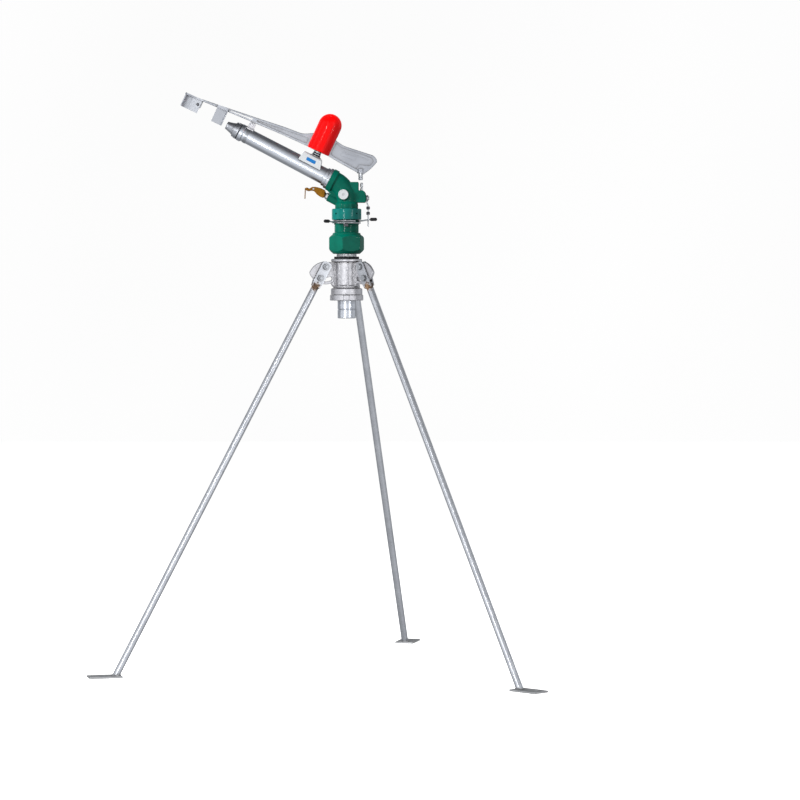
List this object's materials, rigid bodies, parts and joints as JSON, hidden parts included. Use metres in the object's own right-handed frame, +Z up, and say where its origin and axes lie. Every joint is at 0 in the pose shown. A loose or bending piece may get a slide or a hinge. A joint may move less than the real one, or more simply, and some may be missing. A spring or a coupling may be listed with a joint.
{
  "type": "rain gun sprinkler",
  "caption": "Impact rain gun with a rocker arm, on a galvanised folding tripod stand with a hose tail underneath.",
  "frame": {"origin": "on the ground, at the middle of the footprint's bounding box", "axes": "+Z up; the gun fires towards -X at rest, and the reversing gear is on its +X side"},
  "size_m": [1.3454, 1.3392, 1.7314],
  "materials": {
    "galvanised_steel": "hot-dip galvanised, lightly spangled",
    "cast_aluminium": "sand cast, matt",
    "arm_aluminium": "die cast, satin",
    "polished_aluminium": "turned and polished",
    "zinc_steel": "bright zinc plated",
    "green_enamel": "glossy green enamel",
    "red_plastic": "glossy red moulding",
    "brass": "dull brass",
    "black_rubber": "matt black rubber",
    "seal_plastic": "off-white bearing plastic",
    "white_enamel": "white enamel"
  },
  "bodies": {
    "stand": {"tripod_head": "cast_aluminium", "head_flange": "cast_aluminium", "head_gasket": "black_rubber", "riser_nipple": "galvanised_steel", "coupling_adaptor": "cast_aluminium", "coupling_gasket": "black_rubber", "hose_tail": "polished_aluminium", "leg_1_pivot_bolt": "zinc_steel", "leg_2_pivot_bolt": "zinc_steel", "leg_3_pivot_bolt": "zinc_steel", "inlet_body": "green_enamel", "spindle": "zinc_steel", "thrust_washer": "seal_plastic", "pressure_seal": "black_rubber"},
    "hose_coupling": {"coupling_ring": "cast_aluminium"},
    "leg_1": {"leg_1_clamp_bolt": "zinc_steel", "leg_1_clevis": "galvanised_steel", "leg_1_tube": "galvanised_steel", "leg_1_foot": "galvanised_steel"},
    "leg_2": {"leg_2_clamp_bolt": "zinc_steel", "leg_2_clevis": "galvanised_steel", "leg_2_tube": "galvanised_steel", "leg_2_foot": "galvanised_steel"},
    "leg_3": {"leg_3_clamp_bolt": "zinc_steel", "leg_3_clevis": "galvanised_steel", "leg_3_tube": "galvanised_steel", "leg_3_foot": "galvanised_steel"},
    "stop_1": {"stop_collar_1": "zinc_steel", "stop_grip_1": "black_rubber"},
    "stop_2": {"stop_collar_2": "zinc_steel", "stop_grip_2": "black_rubber"},
    "gun": {"elbow": "green_enamel", "side_plug": "white_enamel", "swivel_sleeve": "green_enamel", "spreader_nozzle": "brass", "spreader_deflector": "brass", "barrel": "polished_aluminium", "barrel_flange": "polished_aluminium", "stream_straightener": "seal_plastic", "nozzle_holder": "polished_aluminium", "nozzle_gasket": "black_rubber", "nozzle_nut": "polished_aluminium", "nozzle": "polished_aluminium", "anvil": "cast_aluminium", "arm_seat": "white_enamel", "arm_pin": "zinc_steel", "seat_washer": "black_rubber", "spring_collar": "brass", "torsion_spring": "zinc_steel", "pin_nut": "zinc_steel"},
    "arm": {"rocker_arm": "arm_aluminium", "tail_pin": "zinc_steel", "drive_vane": "arm_aluminium", "guide_plate": "arm_aluminium", "arm_bush_lower": "brass", "arm_bush_upper": "brass", "spring_cap": "red_plastic"},
    "trip_lever": {"reversing_pawl": "zinc_steel", "trip_rod": "zinc_steel"}
  },
  "joints": [
    {"name": "gun_swivel", "type": "hinge", "parent": "stand", "child": "gun", "pos_m": [0.09216, -0.09836, 1.365], "axis": [0, 0, 1], "range_deg": [-12, 210]},
    {"name": "arm_swing", "type": "hinge", "parent": "gun", "child": "arm", "pos_m": [0.00726, -0.09836, 1.5565], "axis": [-0.4226, 0, -0.9063], "range_deg": [0, 55], "stiffness_Nm_per_rad": 1.2, "springref_deg": -28.65},
    {"name": "trip_lever_swing", "type": "hinge", "parent": "gun", "child": "trip_lever", "pos_m": [0.14216, -0.09836, 1.416], "axis": [1, 0, 0], "range_deg": [-12, 12]},
    {"name": "stop_1_turn", "type": "hinge", "parent": "stand", "child": "stop_1", "pos_m": [0.09216, -0.09836, 1.3474], "axis": [0, 0, 1], "range_deg": [-40, 0]},
    {"name": "stop_2_turn", "type": "hinge", "parent": "stand", "child": "stop_2", "pos_m": [0.09216, -0.09836, 1.3416], "axis": [0, 0, 1], "range_deg": [0, 40]},
    {"name": "leg_1_fold", "type": "hinge", "parent": "stand", "child": "leg_1", "pos_m": [0.02904, -0.11586, 1.21], "axis": [0.2672, -0.9636, 0], "range_deg": [0, 27.9]},
    {"name": "leg_2_fold", "type": "hinge", "parent": "stand", "child": "leg_2", "pos_m": [0.13888, -0.14427, 1.21], "axis": [0.7009, 0.7133, 0], "range_deg": [0, 27.9]},
    {"name": "leg_3_fold", "type": "hinge", "parent": "stand", "child": "leg_3", "pos_m": [0.10856, -0.03495, 1.21], "axis": [-0.9681, 0.2504, 0], "range_deg": [0, 27.9]},
    {"name": "coupling_turn", "type": "hinge", "parent": "stand", "child": "hose_coupling", "pos_m": [0.09216, -0.09836, 1.118], "axis": [0, 0, 1], "range_deg": [0, 60]}
  ]
}
